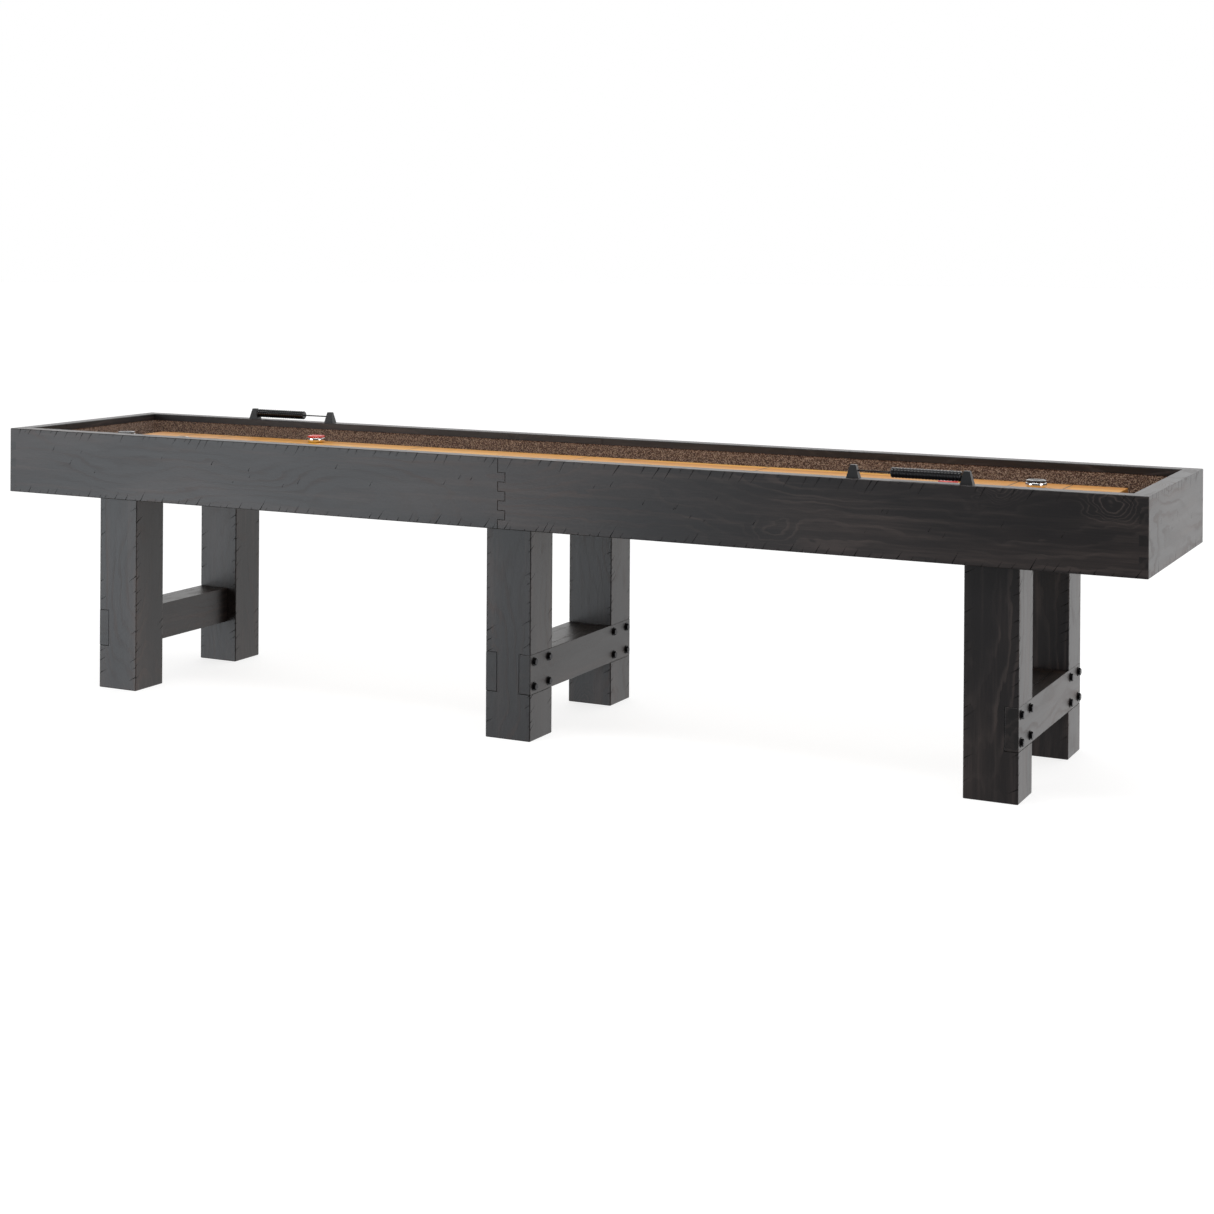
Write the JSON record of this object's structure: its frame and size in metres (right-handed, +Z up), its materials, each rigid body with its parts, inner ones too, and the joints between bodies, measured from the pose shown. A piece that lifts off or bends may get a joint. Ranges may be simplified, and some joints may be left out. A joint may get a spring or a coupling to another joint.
{
  "type": "shuffleboard table",
  "caption": "Long shuffleboard table with square bolted legs, carpeted gutters, a butcher-block board, sliding pucks and bead scorers.",
  "frame": {"origin": "on the floor under the middle of the table", "axes": "+X along the table's length, +Y from the front to the rear, +Z up; the front scorer is near the +X end"},
  "size_m": [3.658, 0.716, 0.847],
  "materials": {
    "stained_wood": "dark charcoal stain over knotty wood, satin lacquer",
    "plywood": "bare plywood",
    "cradle_wood": "softwood battens painted dark",
    "butcher_block": "honey butcher block under a thick gloss polymer coat",
    "carpet": "low loop-pile carpet, heather brown",
    "black_steel": "black oxide",
    "zinc_steel": "zinc plated",
    "scorer_plastic": "fine-grained moulded plastic",
    "bead_plastic": "high gloss",
    "scorer_wire": "dark drawn steel wire",
    "puck_chrome": "polished chrome",
    "puck_cap_red": "gloss red",
    "puck_cap_dark": "gloss black"
  },
  "bodies": {
    "table": {"adjuster_brackets": "black_steel", "adjuster_rods": "zinc_steel", "board_cradles": "cradle_wood", "cabinet_floor_left": "plywood", "cabinet_floor_right": "plywood", "end_board_left": "stained_wood", "end_board_right": "stained_wood", "floor_splice_bolts": "zinc_steel", "floor_splice_plate": "black_steel", "front_apron_left": "stained_wood", "front_apron_right": "stained_wood", "front_scorer_posts": "scorer_plastic", "front_scorer_rod": "scorer_wire", "gutter_carpet_left": "carpet", "gutter_carpet_right": "carpet", "leg_front_left": "stained_wood", "leg_front_middle": "stained_wood", "leg_front_right": "stained_wood", "leg_rear_left": "stained_wood", "leg_rear_middle": "stained_wood", "leg_rear_right": "stained_wood", "leg_screws": "zinc_steel", "leveler_inserts": "zinc_steel", "playing_board": "butcher_block", "rear_apron_left": "stained_wood", "rear_apron_right": "stained_wood", "rear_scorer_posts": "scorer_plastic", "rear_scorer_rod": "scorer_wire", "stretcher_bolts": "black_steel", "stretcher_core_left": "stained_wood", "stretcher_core_middle": "stained_wood", "stretcher_core_right": "stained_wood", "stretcher_plate_end_left": "stained_wood", "stretcher_plate_end_right": "stained_wood", "stretcher_plate_middle_left": "stained_wood", "stretcher_plate_middle_right": "stained_wood"},
    "adjuster_nut_left": {"adjuster_nut_left": "zinc_steel"},
    "adjuster_nut_middle": {"adjuster_nut_middle": "zinc_steel"},
    "adjuster_nut_right": {"adjuster_nut_right": "zinc_steel"},
    "front_scorer_bead_1": {"front_scorer_bead_1": "bead_plastic"},
    "front_scorer_bead_2": {"front_scorer_bead_2": "bead_plastic"},
    "front_scorer_beads": {"front_scorer_beads": "bead_plastic"},
    "leveler_front_left": {"leveler_front_left": "zinc_steel"},
    "leveler_front_middle": {"leveler_front_middle": "zinc_steel"},
    "leveler_front_right": {"leveler_front_right": "zinc_steel"},
    "leveler_rear_left": {"leveler_rear_left": "zinc_steel"},
    "leveler_rear_middle": {"leveler_rear_middle": "zinc_steel"},
    "leveler_rear_right": {"leveler_rear_right": "zinc_steel"},
    "puck_dark_1": {"puck_dark_1": "puck_chrome"},
    "puck_dark_2": {"puck_dark_2": "puck_chrome"},
    "puck_dark_3": {"puck_dark_3": "puck_chrome"},
    "puck_dark_4": {"puck_dark_4": "puck_chrome"},
    "puck_red_1": {"puck_red_1": "puck_chrome"},
    "puck_red_2": {"puck_red_2": "puck_chrome"},
    "puck_red_3": {"puck_red_3": "puck_chrome"},
    "puck_red_4": {"puck_red_4": "puck_chrome"},
    "rear_scorer_bead_1": {"rear_scorer_bead_1": "bead_plastic"},
    "rear_scorer_bead_2": {"rear_scorer_bead_2": "bead_plastic"},
    "rear_scorer_beads": {"rear_scorer_beads": "bead_plastic"}
  },
  "joints": [
    {"name": "puck_red_1_slide", "type": "slide", "parent": "table", "child": "puck_red_1", "axis": [1, 0, 0], "range_m": [-0.632, 2.608]},
    {"name": "puck_red_2_slide", "type": "slide", "parent": "table", "child": "puck_red_2", "axis": [1, 0, 0], "range_m": [-2.836, 0.074]},
    {"name": "puck_red_3_slide", "type": "slide", "parent": "table", "child": "puck_red_3", "axis": [1, 0, 0], "range_m": [-1.187, 0.398]},
    {"name": "puck_red_4_slide", "type": "slide", "parent": "table", "child": "puck_red_4", "axis": [1, 0, 0], "range_m": [-0.168, 1.417]},
    {"name": "puck_dark_1_slide", "type": "slide", "parent": "table", "child": "puck_dark_1", "axis": [1, 0, 0], "range_m": [-0.077, 0.188]},
    {"name": "puck_dark_2_slide", "type": "slide", "parent": "table", "child": "puck_dark_2", "axis": [1, 0, 0], "range_m": [-0.01, 1.575]},
    {"name": "puck_dark_3_slide", "type": "slide", "parent": "table", "child": "puck_dark_3", "axis": [1, 0, 0], "range_m": [-0.283, 2.957]},
    {"name": "puck_dark_4_slide", "type": "slide", "parent": "table", "child": "puck_dark_4", "axis": [1, 0, 0], "range_m": [-1.295, 0.29]},
    {"name": "front_beads_slide", "type": "slide", "parent": "table", "child": "front_scorer_beads", "axis": [-1, 0, 0], "range_m": [0, 0.03]},
    {"name": "front_bead_2_slide", "type": "slide", "parent": "front_scorer_beads", "child": "front_scorer_bead_2", "axis": [-1, 0, 0], "range_m": [0, 0.029]},
    {"name": "front_bead_1_slide", "type": "slide", "parent": "front_scorer_bead_2", "child": "front_scorer_bead_1", "axis": [-1, 0, 0], "range_m": [0, 0.03]},
    {"name": "rear_beads_slide", "type": "slide", "parent": "table", "child": "rear_scorer_beads", "axis": [1, 0, 0], "range_m": [0, 0.03]},
    {"name": "rear_bead_2_slide", "type": "slide", "parent": "rear_scorer_beads", "child": "rear_scorer_bead_2", "axis": [1, 0, 0], "range_m": [0, 0.029]},
    {"name": "rear_bead_1_slide", "type": "slide", "parent": "rear_scorer_bead_2", "child": "rear_scorer_bead_1", "axis": [1, 0, 0], "range_m": [0, 0.03]},
    {"name": "leveler_front_left_screw", "type": "slide", "parent": "table", "child": "leveler_front_left", "axis": [0, 0, -1], "range_m": [0, 0.02]},
    {"name": "leveler_front_middle_screw", "type": "slide", "parent": "table", "child": "leveler_front_middle", "axis": [0, 0, -1], "range_m": [0, 0.02]},
    {"name": "leveler_front_right_screw", "type": "slide", "parent": "table", "child": "leveler_front_right", "axis": [0, 0, -1], "range_m": [0, 0.02]},
    {"name": "leveler_rear_left_screw", "type": "slide", "parent": "table", "child": "leveler_rear_left", "axis": [0, 0, -1], "range_m": [0, 0.02]},
    {"name": "leveler_rear_middle_screw", "type": "slide", "parent": "table", "child": "leveler_rear_middle", "axis": [0, 0, -1], "range_m": [0, 0.02]},
    {"name": "leveler_rear_right_screw", "type": "slide", "parent": "table", "child": "leveler_rear_right", "axis": [0, 0, -1], "range_m": [0, 0.02]},
    {"name": "adjuster_nut_left_turn", "type": "hinge", "parent": "table", "child": "adjuster_nut_left", "pos_m": [-1.2208, 0, 0.689], "axis": [0, 1, 0], "range_deg": [-720, 720]},
    {"name": "adjuster_nut_middle_turn", "type": "hinge", "parent": "table", "child": "adjuster_nut_middle", "pos_m": [0, 0, 0.689], "axis": [0, 1, 0], "range_deg": [-720, 720]},
    {"name": "adjuster_nut_right_turn", "type": "hinge", "parent": "table", "child": "adjuster_nut_right", "pos_m": [1.2208, 0, 0.689], "axis": [0, 1, 0], "range_deg": [-720, 720]}
  ]
}
